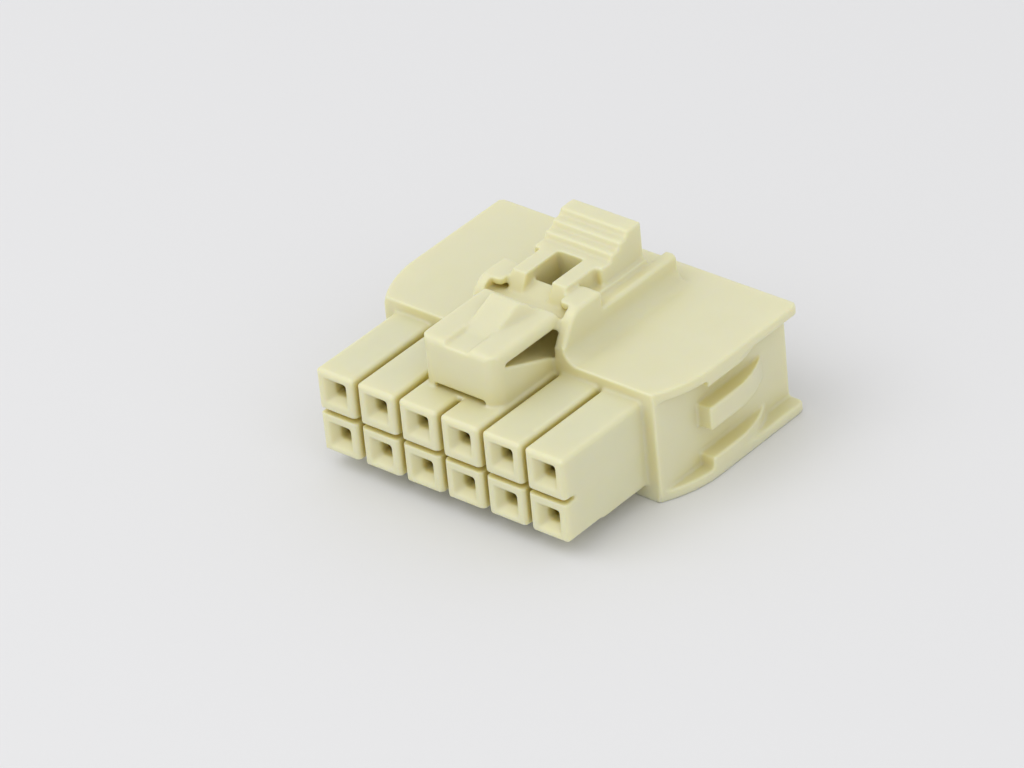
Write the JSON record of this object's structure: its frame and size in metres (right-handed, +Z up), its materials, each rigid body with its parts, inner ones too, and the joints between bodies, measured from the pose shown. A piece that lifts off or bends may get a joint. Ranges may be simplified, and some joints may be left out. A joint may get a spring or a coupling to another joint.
{
  "type": "wire to board connector housing",
  "caption": "Moulded wire connector housing with rows of square contact towers, a flanged rear block with side grip fins, and a springy top latch between guard walls.",
  "frame": {"origin": "middle of the mating face, between the two rows of contacts", "axes": "+X along the contact rows, +Y from the mating face back to the wires, +Z up, towards the latch"},
  "size_m": [0.025, 0.0218, 0.0134],
  "materials": {
    "natural_nylon": "unpigmented translucent nylon, satin, ivory with a yellow-green cast"
  },
  "bodies": {
    "root": {"housing": "natural_nylon"}
  },
  "joints": []
}
